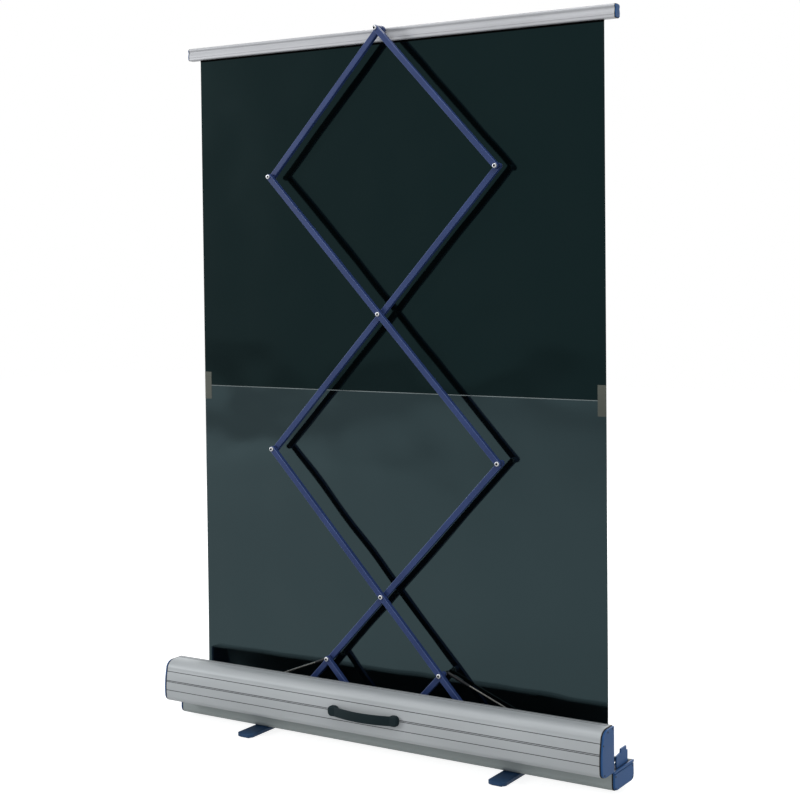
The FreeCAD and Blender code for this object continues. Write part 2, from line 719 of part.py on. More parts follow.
def make_parts():
    """Every node of the screen, by name."""
    origin = (0, pivot_z)
    apex = (0, apex_z)
    lower_cross = (0, pivot_z + reach_z)
    upper_cross = (0, pivot_z + 3 * reach_z)
    strap = handle_strap()

    def side_point(side, steps):
        """Pivot at the scissor's side, steps half arms above the base pivot."""
        return (side * reach_x, pivot_z + steps * reach_z)

    def brace_point(side):
        return (side * reach_x / 2, pivot_z + reach_z / 2)

    nodes = {
        "base_shell": base_shell(),
        "base_bracket": base_bracket(),
        "strut_anchors": strut_anchors(),
        "lid_shell": lid_shell(),
        "latch_clips": latch_clips(),
        "handle_strap": strap,
        "handle_caps": handle_caps(strap),
        "top_bar": top_bar(),
        "sheet_spline": sheet_spline(),
        "apex_bracket": apex_bracket(),
        "drop_sheet": hanging_sheet(roller_z, seam_height),
        "screen_sheet": hanging_sheet(seam_height, bar_low_z + bar_wall - body_gap),
        "seam_tapes": seam_tapes(),
        "roller_tube": roller_tube(),
        "wound_sheet": wound_sheet(),
    }

    # The rear layer's arms rise towards +X and carry the screws, the front layer's arms rise towards -X
    for layer, layer_y, rise in (("rear", rear_layer_y, 1), ("front", front_layer_y, -1)):
        lower = (side_point(-rise, 0), brace_point(-rise), lower_cross, side_point(rise, 2))
        upper = (side_point(-rise, 2), upper_cross, side_point(rise, 4))
        top = (side_point(-rise, 4), apex)
        brace = (origin, brace_point(rise))
        screws = lower[1:] + upper + top[:1] + brace[1:] if layer == "rear" else ()
        nodes["lower_arm_" + layer] = arm(layer_y, lower, screws)
        nodes["upper_arm_" + layer] = arm(layer_y, upper, screws)
        nodes["top_arm_" + layer] = arm(layer_y, top, screws)
        nodes["brace_" + layer] = arm(layer_y, brace, screws)

    for name, side, layer_y in (("left", -1, rear_layer_y), ("right", 1, front_layer_y)):
        nodes["base_end_cap_" + name] = base_end_cap(side)
        nodes["lid_end_cap_" + name] = lid_end_cap(side)
        nodes["bar_end_cap_" + name] = bar_end_cap(side)
        nodes["foot_" + name] = foot(side)
        nodes["foot_pads_" + name] = foot_pads(side)
        nodes["slide_track_" + name] = slide_track(layer_y, side)
        nodes["slider_shoe_" + name] = slider_shoe(layer_y, side * reach_x)
        nodes["strut_cylinder_" + name] = strut_cylinder(side)
        nodes["strut_rod_" + name] = strut_rod(side)
        nodes["roller_bracket_" + name] = roller_bracket(side)
    return nodes


def main():
    os.makedirs("parts", exist_ok=True)
    for name, solids in make_parts().items():
        shape = Part.makeCompound(solids) if isinstance(solids, list) else solids
        shape.exportStep("parts/" + name + ".step")


main()
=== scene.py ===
import json
import math

import bmesh
import bpy
from mathutils import Matrix, Vector

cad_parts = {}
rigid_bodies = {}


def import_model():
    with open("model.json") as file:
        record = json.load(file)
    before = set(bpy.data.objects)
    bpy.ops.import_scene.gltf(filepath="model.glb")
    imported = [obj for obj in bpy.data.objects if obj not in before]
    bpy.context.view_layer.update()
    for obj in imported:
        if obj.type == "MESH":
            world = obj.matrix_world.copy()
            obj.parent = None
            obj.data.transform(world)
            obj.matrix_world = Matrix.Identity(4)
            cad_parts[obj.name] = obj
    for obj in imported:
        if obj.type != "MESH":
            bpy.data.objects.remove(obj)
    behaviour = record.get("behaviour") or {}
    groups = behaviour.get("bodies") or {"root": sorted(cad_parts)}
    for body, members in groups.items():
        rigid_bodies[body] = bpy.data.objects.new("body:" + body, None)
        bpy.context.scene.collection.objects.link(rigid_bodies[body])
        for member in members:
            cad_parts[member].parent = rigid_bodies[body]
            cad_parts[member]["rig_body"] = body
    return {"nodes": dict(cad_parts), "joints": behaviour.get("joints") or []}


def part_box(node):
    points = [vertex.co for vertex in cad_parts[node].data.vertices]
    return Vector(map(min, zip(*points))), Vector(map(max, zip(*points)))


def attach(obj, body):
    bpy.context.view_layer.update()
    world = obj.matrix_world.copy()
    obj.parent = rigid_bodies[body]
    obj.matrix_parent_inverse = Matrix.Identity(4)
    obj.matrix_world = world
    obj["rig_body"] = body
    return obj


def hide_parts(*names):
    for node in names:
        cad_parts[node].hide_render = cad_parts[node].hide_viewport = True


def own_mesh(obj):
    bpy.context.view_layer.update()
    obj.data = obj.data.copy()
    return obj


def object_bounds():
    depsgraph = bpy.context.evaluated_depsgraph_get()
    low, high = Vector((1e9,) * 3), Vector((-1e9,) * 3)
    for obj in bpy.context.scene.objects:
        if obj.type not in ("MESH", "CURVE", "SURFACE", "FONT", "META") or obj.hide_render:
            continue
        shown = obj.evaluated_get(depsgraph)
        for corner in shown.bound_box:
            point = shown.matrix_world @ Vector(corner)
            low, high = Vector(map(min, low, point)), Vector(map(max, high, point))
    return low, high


# Portable pull-up projection screen seen from behind, in metres.
# Sizes come from the frame where it has them; the rest are named here.

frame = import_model()
cad_low, cad_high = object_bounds()
joint_at = {j["name"]: Vector(j["pos_m"]) for j in frame["joints"] if "pos_m" in j}
SIDES = ((-1, "left"), (1, "right"))

# Shading and welding
SHARP = math.radians(32)
FLAT = math.radians(0.4)
WELD = 2e-6
NARROW = 0.3

# Rounding of edges: thin extrusions, small metal parts, moulded parts, feet and tapes
THIN_EDGE = 0.0004
SMALL_EDGE = 0.0006
MOULDED_EDGE = 0.0008
FOOT_EDGE = 0.0014
TAPE_EDGE = 0.0001

# Steps along round outlines, in degrees and in points
ARM_TURN = 15
CORNER_TURN = 10
LID_TOP_TURN = 6
RING = 24

# Frame screws: the head's straight edge is a share of its height, and so are the rings of its dome
HEAD_RADIUS = 0.0066
HEAD_HEIGHT = 0.0035
HEAD_FLAT = 0.0046
HEAD_EDGE = 0.18
DOME_RINGS = (0.45, 0.7, 0.88, 1.0)
SOCKET_WIDTH = 0.0064
SOCKET_DEPTH = 0.0022
WASHER_RADIUS = 0.0080
SHANK_RADIUS = 0.0040
NUT_WIDTH = 0.0120
NUT_HEIGHT = 0.0037

# Arms, whose rounded edges take a lighter blue paint as a painted highlight, and the boss at the apex
ARM_ROUND = 0.0018
HIGHLIGHT_TILT = 0.2
BOSS_ROUND = 0.0012
BOSS_FLANGE = 0.003
BOSS_FLANGE_RIM = 0.0012
BOSS_GAP = 0.0003

# Lid: flat parts of its upper and lower walls, how far its round corners reach down and up, how high its
# crown lies, how far its face falls back above and below the crown, and the hook on its hinge
LID_WALL = 0.0025
LID_TOP_FLAT = 0.034
LID_TOP_DROP = 0.024
LID_LOW_FLAT = 0.047
LID_LOW_DROP = 0.017
LID_CROWN = 0.040
LID_TOP_BOW = 0.014
LID_LOW_BOW = 0.003
LID_STEPS = 24
HOOK_RADIUS = 0.0031
HOOK_WALL = 0.0020
HOOK_FROM = -60
HOOK_TO = 150

# Grooves of the lid, on its face and beside its mouth, their insides a darker aluminium as painted shade.
# GROOVE_SHAPE gives each point's share of the width, its share of the depth, and whether it ends a side of
# the groove, the faces so marked taking the painted shade
GROOVE_HEIGHTS = (0.0892, 0.0632, 0.0598, 0.0355)
GROOVE_WIDTH = 0.0019
GROOVE_DEPTH = 0.0013
GROOVE_SHAPE = ((0.5, 0, False), (0.3, 1, True), (-0.3, 1, True), (-0.5, 0, True))
RIM_GROOVES = (0.004, 0.013)
RIM_GROOVE_WIDTH = 0.0034

# End caps: black band under each as painted shade of the gap around the cap, how far the cap lies inside
# it, its ledge, and its screws. The lid's screws are placed by shares of the cap's depth and height
SHADE_GAP_DEPTH = 0.0028
CAP_INSET = 0.0017
CAP_ROUND = 0.0012
THIN_CAP_ROUND = 0.0006
TROUGH_CORNER = 0.015
LEDGE_HEIGHT = 0.0060
LEDGE_GAP = 0.0016
CAP_SCREW = 0.0026
CAP_SCREW_PROUD = 0.0003
BASE_SCREW_INSET = 0.0075
LID_SCREWS = ((0.12, 0.95), (0.52, 0.93), (0.88, 0.70), (0.80, 0.07))

# Stepped plates at the base's ends
PLATE_RISE = 0.043
PLATE_DEPTH = 0.004
PLATE_REAR = 0.030
PLATE_WIDTH = 0.068
PLATE_TAB = (0.027, 0.060)
PLATE_STEP = 0.012
PLATE_SLOPE = 0.002
PLATE_ROOT = 0.005

# Handle
STRAP_INSET = 0.0008
STRAP_ROUND = 0.0022
PAD_LENGTH = 0.030
PAD_ROOT = 0.0024
PAD_ROUND = 0.011
PAD_EDGE = 0.0045

# Sockets at the struts' upper ends: tip in radii, stem in shares of length and radius
STRUT_SOCKET_LENGTH = 0.080
STRUT_SOCKET_RADIUS = 0.0048
STRUT_SOCKET_TIP = ((0, 0.5), (0.3, 0.85), (1, 1))
STRUT_SOCKET_STEM = ((0.7, 1), (0.72, 0.8), (0.98, 0.8), (1, 0.7))

# Top bar: its round edges, the waist along its sides, the ridge below the waist, and its ends with a black
# band of painted shade before each cap
BAR_TOP_ROUND = 0.006
BAR_LOW_ROUND = 0.003
BAR_WAIST = 0.0026
BAR_WAIST_DROP = 0.0115
BAR_WAIST_ABOVE = 0.0032
BAR_WAIST_BELOW = 0.0085
BAR_RIDGE_DROP = 0.0275
BAR_SETBACK = 0.0008
BAR_STEP = 0.0009
BAR_END_GAP = 0.0005
BAR_CAP = 0.0030
BAR_SHADE_GAP = 0.0014

# Cloth: black strip of painted shadow under the bar, weld at the seam, borders of the white surface, turns
# on the roller
CLOTH_STEP = 0.02
SHADOW_STRIP_HEIGHT = 0.0055
SHADOW_STRIP_PROUD = 0.0004
SEAM_HEIGHT = 0.0020
SEAM_PROUD = 0.0003
BORDER = 0.040
TOP_BORDER = 0.030
ROLL_TURNS = 4
ROLL_RING = 64
ROLL_STEP = 0.0002

# Slack of the drop sheet: how deep, where and how widely as shares of the sheet's height, how much of it is
# left on the +X side, and its ripples, each with its radians per metre along X and Z, start and share
SLACK_DEPTH = 0.0030
SLACK_AT = 0.10
SLACK_SPREAD = 0.10
SLACK_LEAST = 0.35
RIPPLES = ((21, 0, 0.8, 0.6), (47, 9, 0.0, 0.4))

# Textures: range of noise that counts, darker share of plated steel's mottle, period of a wave texture of
# scale 1, threads of a weave, and long waves in the glossy sheets
NOISE_LOW = 0.3
NOISE_HIGH = 0.7
MOTTLE = 0.86
WAVE_PERIOD = 0.314
THREAD_DISTORTION = 0.6
WEAVE_DEPTH = 0.0002
WAVES_PER_METRE = 3.2

# Stage: strengths where a surface only lights, where it is mirrored, and where the camera sees it
WORLD_GLOW = (0.3, 1.0, 1.0)
FLOOR_GLOW = (0.15, 0.5, 0.85)
FLOOR_GREY = (0.5, 0.5, 0.5, 1)
FLOOR_HALF = 12
WHITE = (1, 1, 1, 1)

# Lights: name, place, target, width and power
LIGHTS = (
    ("key", (7.2, 5.0, 2.9), (0, 0, 0.9), 2.0, 275),
    ("fill", (-4.6, 2.2, 2.6), (0, 0, 0.7), 2.4, 45),
    ("top", (0.0, 1.6, 5.2), (0, 0.1, 0.2), 2.6, 95),
    ("front", (1.5, -4.5, 3.0), (0, 0, 0.9), 3.0, 140),
)

# Camera fitted to the photograph, 800 pixels square
PICTURE = 800.0
LENS = 69.55
SENSOR = 36.0
CAMERA_AT = Vector((-2.2825, 3.5560, 1.3251))
CAMERA_TURN = 0.5604
CAMERA_PITCH = 0.0337
CAMERA_ROLL = -0.0104
PRINCIPAL_Y = 320.0


# Materials

def linear(red, green, blue):
    """Linear colour of an 8-bit screen colour."""
    def one(value):
        share = value / 255
        return share / 12.92 if share <= 0.04045 else ((share + 0.055) / 1.055) ** 2.4
    return (one(red), one(green), one(blue), 1.0)


def new_material(name, **sockets):
    """Material with a Principled shader whose named sockets hold constant values."""
    made = bpy.data.materials.new(name)
    made.use_nodes = True
    shader = made.node_tree.nodes["Principled BSDF"]
    for socket, value in sockets.items():
        shader.inputs[socket.replace("_", " ")].default_value = value
    return made


def object_noise(made, scale, stretch=(1, 1, 1), detail=4.0):
    """Noise over the object's own coordinates, drawn out along an axis by a small stretch."""
    nodes, links = made.node_tree.nodes, made.node_tree.links
    place = nodes.new("ShaderNodeTexCoord")
    mapping = nodes.new("ShaderNodeMapping")
    mapping.inputs["Scale"].default_value = stretch
    texture = nodes.new("ShaderNodeTexNoise")
    texture.inputs["Scale"].default_value = scale
    texture.inputs["Detail"].default_value = detail
    links.new(place.outputs["Object"], mapping.inputs["Vector"])
    links.new(mapping.outputs["Vector"], texture.inputs["Vector"])
    return texture


def vary_colour(made, texture, dark, light, low=0.35, high=0.65):
    """Base colour that wanders between two screen colours with a texture."""
    nodes, links = made.node_tree.nodes, made.node_tree.links
    ramp = nodes.new("ShaderNodeValToRGB")
    for stop, position, colour in zip(ramp.color_ramp.elements, (low, high), (dark, light)):
        stop.position = position
        stop.color = linear(*colour)
    links.new(texture.outputs["Fac"], ramp.inputs["Fac"])
    links.new(ramp.outputs["Color"], nodes["Principled BSDF"].inputs["Base Color"])


def vary_roughness(made, texture, low, high):
    """Roughness that wanders between two values with a texture."""
    nodes, links = made.node_tree.nodes, made.node_tree.links
    spread = nodes.new("ShaderNodeMapRange")
    spread.inputs["From Min"].default_value = NOISE_LOW
    spread.inputs["From Max"].default_value = NOISE_HIGH
    spread.inputs["To Min"].default_value = low
    spread.inputs["To Max"].default_value = high
    links.new(texture.outputs["Fac"], spread.inputs["Value"])
    links.new(spread.outputs["Result"], nodes["Principled BSDF"].inputs["Roughness"])


def add_bump(made, height, strength, distance):
    """Bump from a height output, on top of any bump that is there."""
    nodes, links = made.node_tree.nodes, made.node_tree.links
    bump = nodes.new("ShaderNodeBump")
    bump.inputs["Strength"].default_value = strength
    bump.inputs["Distance"].default_value = distance
    normal = nodes["Principled BSDF"].inputs["Normal"]
    if normal.is_linked:
        links.new(normal.links[0].from_socket, bump.inputs["Normal"])
    links.new(height, bump.inputs["Height"])
    links.new(bump.outputs["Normal"], normal)


def weave(made, pitch, strength):
    """Bump of a plain weave: two wave textures across each other."""
    nodes, links = made.node_tree.nodes, made.node_tree.links
    place = nodes.new("ShaderNodeTexCoord")
    height = nodes.new("ShaderNodeMath")
    height.operation = "MAXIMUM"
    for socket, direction in enumerate(("X", "Z")):
        threads = nodes.new("ShaderNodeTexWave")
        threads.bands_direction = direction
        threads.inputs["Scale"].default_value = WAVE_PERIOD / pitch
        threads.inputs["Distortion"].default_value = THREAD_DISTORTION
        links.new(place.outputs["Object"], threads.inputs["Vector"])
        links.new(threads.outputs["Fac"], height.inputs[socket])
    add_bump(made, height.outputs["Value"], strength, WEAVE_DEPTH)


def extruded_aluminium(name, dark, light, rough):
    """Satin anodised extrusion: fine die lines along X, faint cloudiness across them."""
    made = new_material(name, Metallic=0.2, Specular_IOR_Level=0.3)
    lines = object_noise(made, scale=900, stretch=(0.004, 1, 1), detail=3.0)
    clouds = object_noise(made, scale=14, stretch=(0.25, 1, 1))
    vary_colour(made, clouds, dark, light)
    vary_roughness(made, lines, *rough)
    add_bump(made, lines.outputs["Fac"], strength=0.05, distance=0.0003)
    return made


def coated(name, dark, light, rough, grain, bump, gloss=0.25):
    """Paint, plastic or rubber with a fine grain and a slow drift of colour."""
    made = new_material(name, Specular_IOR_Level=gloss)
    drift = object_noise(made, scale=9)
    fine = object_noise(made, scale=grain, detail=2.0)
    vary_colour(made, drift, dark, light)
    vary_roughness(made, drift, rough - 0.06, rough + 0.06)
    add_bump(made, fine.outputs["Fac"], strength=bump, distance=0.0004)
    return made


def plated_steel(name, shade, rough):
    """Plated steel with a slight mottle."""
    made = new_material(name, Metallic=1.0)
    mottle = object_noise(made, scale=420)
    vary_colour(made, mottle, [MOTTLE * part for part in shade], shade)
    vary_roughness(made, mottle, rough - 0.08, rough + 0.08)
    return made


def cloth(name, dark, light, rough, pitch, gloss=0.3, tint=WHITE, relief=0.25, waviness=0.0):
    """Coated cloth: weave, slow drift of colour, gloss of its coating, and long shallow waves."""
    made = new_material(name, Specular_IOR_Level=gloss, Specular_Tint=tint)
    drift = object_noise(made, scale=3.5)
    vary_colour(made, drift, dark, light)
    vary_roughness(made, drift, rough - 0.02, rough + 0.02)
    weave(made, pitch, relief)
    if waviness:
        waves = object_noise(made, scale=WAVES_PER_METRE, detail=1.0)
        add_bump(made, waves.outputs["Fac"], strength=1.0, distance=waviness)
    return made


ALUMINIUM = extruded_aluminium("case_aluminium", (170, 175, 178), (178, 183, 186), rough=(0.46, 0.56))
# Darker, greener copy of the case aluminium: painted shade on the base under the lid.
SHADED_BASE_ALUMINIUM = extruded_aluminium("base_aluminium_painted_shade", (150, 158, 158), (158, 166, 166), rough=(0.48, 0.58))
# Dark aluminium inside the lid's grooves: painted shade in the recesses.
GROOVE_SHADE_ALUMINIUM = extruded_aluminium("groove_painted_shade", (78, 82, 85), (92, 96, 99), rough=(0.5, 0.62))
BAR_ALUMINIUM = extruded_aluminium("bar_aluminium", (174, 176, 180), (182, 184, 188), rough=(0.42, 0.52))
TRACK_ALUMINIUM = extruded_aluminium("track_aluminium", (150, 152, 156), (170, 172, 176), rough=(0.34, 0.5))
BLUE_PLASTIC = coated("blue_plastic", (43, 85, 137), (48, 92, 146), rough=0.5, grain=900, bump=0.25,
                      gloss=0.2)
BLUE_PAINT = coated("blue_paint", (39, 56, 100), (45, 63, 110), rough=0.42, grain=700, bump=0.12,
                    gloss=0.22)
# Lighter blue for the arms' rounded edges: a painted highlight where they catch the light.
EDGE_HIGHLIGHT_PAINT = coated("blue_edge_painted_highlight", (66, 84, 132), (84, 102, 150), rough=0.4, grain=700, bump=0.12, gloss=0.3)
NAVY_PAINT = coated("navy_paint", (27, 58, 92), (33, 66, 102), rough=0.42, grain=700, bump=0.18)
BLACK_PLASTIC = coated("black_plastic", (20, 22, 25), (28, 30, 34), rough=0.45, grain=900, bump=0.25)
BLACK_PAINT = coated("black_paint", (14, 15, 17), (20, 21, 24), rough=0.38, grain=700, bump=0.12)
RUBBER = coated("handle_rubber", (14, 28, 32), (19, 34, 38), rough=0.55, grain=1100, bump=0.3, gloss=0.12)
PAD_RUBBER = coated("pad_rubber", (24, 25, 27), (34, 35, 37), rough=0.7, grain=600, bump=0.5)
ZINC = plated_steel("zinc_steel", (205, 207, 210), rough=0.36)
ROD_STEEL = plated_steel("rod_steel", (100, 100, 97), rough=0.26)
# Black for washers and small cap screws, and painted shade inside screw sockets and in the gaps around the
# end caps.
BLACK_AND_SHADE = coated("black_parts_and_painted_shade", (10, 10, 11), (16, 16, 17), rough=0.6, grain=600, bump=0.1)
BACK_CLOTH = cloth("screen_back", (2, 5, 6), (4, 7, 8), rough=0.10, pitch=0.0011, gloss=0.20,
                   tint=(0.42, 0.95, 1.0, 1), relief=0.01, waviness=0.010)
DROP_CLOTH = cloth("drop_cloth", (3, 5, 6), (5, 7, 8), rough=0.07, pitch=0.0009, gloss=0.72,
                   tint=(0.56, 0.91, 1.0, 1), relief=0.01, waviness=0.009)
FRONT_WHITE = cloth("screen_white", (236, 237, 236), (239, 240, 239), rough=0.85, pitch=0.0007)
FRONT_BLACK = cloth("screen_border", (16, 16, 17), (22, 22, 23), rough=0.75, pitch=0.0009)
# Near-black strip just under the bar: a painted shadow of the bar on the cloth.
UNDER_BAR_SHADOW = cloth("painted_shadow_under_bar", (1, 1, 1), (2, 2, 2), rough=0.8, pitch=0.0009, gloss=0.02)
TAPE_CLOTH = cloth("seam_tape", (70, 74, 68), (88, 92, 84), rough=0.6, pitch=0.0014)
SEAM_LINE = cloth("seam_weld", (104, 114, 116), (126, 136, 138), rough=0.45, pitch=0.0014)


# Meshes

def body_of(node):
    """Body that a CAD node belongs to."""
    return frame["nodes"][node]["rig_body"]


def stands_out(face):
    """True for a face with only narrow neighbours, like the flat of a plate with round edges."""
    limit = NARROW * face.calc_area()
    others = (other for edge in face.edges for other in edge.link_faces if other != face)
    return all(other.calc_area() < limit for other in others)


def add_piece(name, bm, materials, body, nodes=()):
    """Makes a bmesh into a piece that rides on a body and stands for CAD nodes."""
    bmesh.ops.recalc_face_normals(bm, faces=bm.faces)
    for edge in bm.edges:
        edge.smooth = not edge.is_manifold or edge.calc_face_angle() < SHARP
    for face in bm.faces:
        face.smooth = not stands_out(face)
    mesh = bpy.data.meshes.new(name)
    bm.to_mesh(mesh)
    bm.free()
    for made in materials:
        mesh.materials.append(made)
    piece = bpy.data.objects.new(name, mesh)
    bpy.context.scene.collection.objects.link(piece)
    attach(piece, body)
    if nodes:
        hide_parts(*nodes)
    return piece


def sharp_edges(bm):
    """Edges between two faces that meet at a clear angle."""
    return [e for e in bm.edges if e.is_manifold and e.calc_face_angle() > SHARP]


def edges_within(bm, verts):
    """Edges whose ends are both among the given points."""
    return [e for e in bm.edges if all(v in verts for v in e.verts)]


def round_edges(bm, edges, width, segments=3):
    """Rounds the given edges."""
    bmesh.ops.bevel(bm, geom=edges, offset=width, offset_type="OFFSET", segments=segments, profile=0.5,
                    affect="EDGES", clamp_overlap=True)


def arc(first, last, step):
    """Angles in radians from one angle in degrees towards another, the last one left out."""
    return [math.radians(turn) for turn in range(first, last, step)]


def node_mesh(node):
    """The shape of a CAD node as a clean bmesh, with its flat faces whole."""
    bm = bmesh.new()
    bm.from_mesh(frame["nodes"][node].data)
    bmesh.ops.remove_doubles(bm, verts=bm.verts, dist=WELD)
    bmesh.ops.dissolve_limit(bm, angle_limit=FLAT, verts=bm.verts, edges=bm.edges)
    return bm


def refined(node, made, width, segments=3):
    """Piece with a CAD node's shape and rounded edges."""
    bm = node_mesh(node)
    round_edges(bm, sharp_edges(bm), width, segments)
    return add_piece(node + "_skin", bm, [made], body_of(node), [node])


def add_box(bm, low, high):
    """Adds a box between two corners."""
    size = Vector(high) - Vector(low)
    middle = (Vector(high) + Vector(low)) / 2
    made = bmesh.ops.create_cube(bm, size=1)
    bmesh.ops.scale(bm, vec=size, verts=made["verts"])
    bmesh.ops.translate(bm, vec=middle, verts=made["verts"])
    return made["verts"]


def add_prism(bm, outline, x_range, materials=None):
    """Adds a prism along X over an outline of (y, z) points. materials holds one index for each side."""
    rings = [[bm.verts.new((x, y, z)) for y, z in outline] for x in x_range]
    for k in range(len(outline)):
        following = (k + 1) % len(outline)
        face = bm.faces.new((rings[0][k], rings[0][following], rings[1][following], rings[1][k]))
        if materials:
            face.material_index = materials[k]
    bm.faces.new(rings[0])
    bm.faces.new(list(reversed(rings[1])))
    return rings


def add_slab(bm, outline, y_range):
    """Adds a slab along Y over an outline of points."""
    rings = [[bm.verts.new((p.x, y, p.z)) for p in outline] for y in y_range]
    for k in range(len(outline)):
        bm.faces.new((rings[0][k], rings[0][k - 1], rings[1][k - 1], rings[1][k]))
    bm.faces.new(rings[0])
    bm.faces.new(list(reversed(rings[1])))
    bmesh.ops.recalc_face_normals(bm, faces=bm.faces)


def add_turned(bm, axis_start, axis, outline, count, material_index=0, closed=True):
    """Adds a body of revolution: outline holds (distance along the axis, radius) pairs."""
    axis = Vector(axis).normalized()
    side = axis.orthogonal().normalized()
    across = axis.cross(side)
    turns = [2 * math.pi * k / count for k in range(count)]
    rings = []
    for along, radius in outline:
        centre = Vector(axis_start) + axis * along
        rings.append([bm.verts.new(centre + (side * math.cos(a) + across * math.sin(a)) * radius)
                      for a in turns])
    faces = []
    for ring, following in zip(rings, rings[1:]):
        for k in range(count):
            faces.append(bm.faces.new((ring[k], ring[k - 1], following[k - 1], following[k])))
    if closed:
        faces.append(bm.faces.new(rings[0]))
        faces.append(bm.faces.new(list(reversed(rings[-1]))))
    for face in faces:
        face.material_index = material_index


def drawn_in(chain, inset):
    """Open chain of (y, z) points, walked with its inside on the right, moved inwards."""
    moved = []
    for k, (y, z) in enumerate(chain):
        before = chain[max(k - 1, 0)]
        after = chain[min(k + 1, len(chain) - 1)]
        way = Vector((after[0] - before[0], after[1] - before[1])).normalized()
        moved.append((y + way.y * inset, z - way.x * inset))
    return moved


# Case

def lid_chain(grooves):
    """The lid's outline from the upper edge of its mouth to the lower one, and for each point whether it
    ends a side of a groove."""
    low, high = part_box("lid_end_cap_right")
    tall = high.z - low.z
    upper = tall - LID_TOP_DROP

    def face(height):
        if height > LID_CROWN:
            return high.y - LID_TOP_BOW * ((height - LID_CROWN) / (tall - LID_CROWN)) ** 2
        return high.y - LID_LOW_BOW * ((LID_CROWN - height) / LID_CROWN) ** 2

    def corner(flat, drop, height, turns):
        reach = face(height) - low.y - flat
        start = low.y + flat
        return [(start + reach * math.cos(t), low.z + height + drop * math.sin(t)) for t in turns]

    top = [(low.y, high.z)] + corner(LID_TOP_FLAT, LID_TOP_DROP, upper, arc(90, 0, -LID_TOP_TURN))
    bottom = corner(LID_LOW_FLAT, LID_LOW_DROP, LID_LOW_DROP, arc(-CORNER_TURN, -91, -CORNER_TURN))
    heights = [upper + (LID_LOW_DROP - upper) * k / LID_STEPS for k in range(LID_STEPS + 1)]
    stops = [(h, 0.0, False) for h in heights if all(abs(h - g) > GROOVE_WIDTH for g in grooves)]
    for groove in grooves:
        for share, depth, side in GROOVE_SHAPE:
            stops.append((groove + share * GROOVE_WIDTH, depth * GROOVE_DEPTH, side))
    stops.sort(key=lambda stop: -stop[0])
    chain = [(point, False) for point in top]
    chain += [((face(h) - depth, low.z + h), side) for h, depth, side in stops]
    chain += [(point, False) for point in bottom]
    return chain + [((low.y, low.z), False)]


def lid_outline():
    """The lid's outline without its grooves."""
    return [point for point, side in lid_chain(())]


def lid_piece():
    """The lid's extrusion with its long grooves darkened inside as painted shade, and the hook on the
    hinge.
    """
    low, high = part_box("lid_end_cap_right")
    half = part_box("lid_shell")[1].x
    hinge = joint_at["lid_hinge"]
    outer = lid_chain(GROOVE_HEIGHTS)
    rim = []
    for groove in RIM_GROOVES:
        for share, depth, side in GROOVE_SHAPE:
            point = (low.y + groove - share * RIM_GROOVE_WIDTH, high.z - depth * GROOVE_DEPTH)
            rim.append((point, side))
    outer = outer[:1] + rim + outer[1:]
    inner = list(reversed(drawn_in(lid_outline(), LID_WALL)))
    clear_y = hinge.y + HOOK_RADIUS + HOOK_WALL / 2
    loop = [point for point, side in outer] + inner
    loop = [(max(y, clear_y) if z < hinge.z + HOOK_RADIUS else y, z) for y, z in loop]
    # Faces that end a groove's side get the dark aluminium: painted shade inside the grooves.
    marks = [int(side) for point, side in outer[1:]] + [0] * (len(inner) + 1)
    bm = bmesh.new()
    add_prism(bm, loop, (-half, half), marks)
    turns = [math.radians(HOOK_FROM + (HOOK_TO - HOOK_FROM) * k / LID_STEPS) for k in range(LID_STEPS + 1)]
    wide = HOOK_RADIUS + HOOK_WALL
    hook = [(hinge.y + HOOK_RADIUS * math.cos(t), hinge.z + HOOK_RADIUS * math.sin(t)) for t in turns]
    hook += [(hinge.y + wide * math.cos(t), hinge.z + wide * math.sin(t)) for t in reversed(turns)]
    add_prism(bm, hook, (-half, half))
    add_piece("lid_extrusion", bm, [ALUMINIUM, GROOVE_SHADE_ALUMINIUM], body_of("lid_shell"), ["lid_shell"])


def add_cap_screws(bm, side, x, points):
    """Adds small dark screw heads to an end cap."""
    for y, z in points:
        add_turned(bm, (x, y, z), (side, 0, 0), ((0, CAP_SCREW), (CAP_SCREW_PROUD, CAP_SCREW)), RING, 1)


def add_shade_gap_and_plates(bm, side, chain, plates):
    """Adds a black band over an outline, painted shade of the gap around the cap, with blue plates on it.
    Returns where their outer face lies.
    """
    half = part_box("lid_shell")[1].x
    outside = max(abs(cad_low.x), cad_high.x)
    step = half + SHADE_GAP_DEPTH
    # The band between shell and plates is black: painted shade of the gap around the cap.
    rings = add_prism(bm, chain, (side * half, side * step), [1] * len(chain))
    for face in rings[1][0].link_faces:
        face.material_index = 1
    for plate in plates:
        rim = add_prism(bm, plate, (side * step, side * outside))[1]
        round_edges(bm, edges_within(bm, rim), CAP_ROUND)
    return side * outside


def lid_cap(side, end):
    """Lid's end cap on a black band of painted shade."""
    node = "lid_end_cap_" + end
    low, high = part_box(node)
    chain = lid_outline()
    bm = bmesh.new()
    outside = add_shade_gap_and_plates(bm, side, chain, [drawn_in(chain, CAP_INSET)])
    deep = high.y - low.y
    tall = high.z - low.z
    points = [(low.y + along * deep, low.z + up * tall) for along, up in LID_SCREWS]
    add_cap_screws(bm, side, outside, points)
    add_piece("lid_cap_" + end, bm, [BLUE_PLASTIC, BLACK_AND_SHADE], body_of(node), [node])


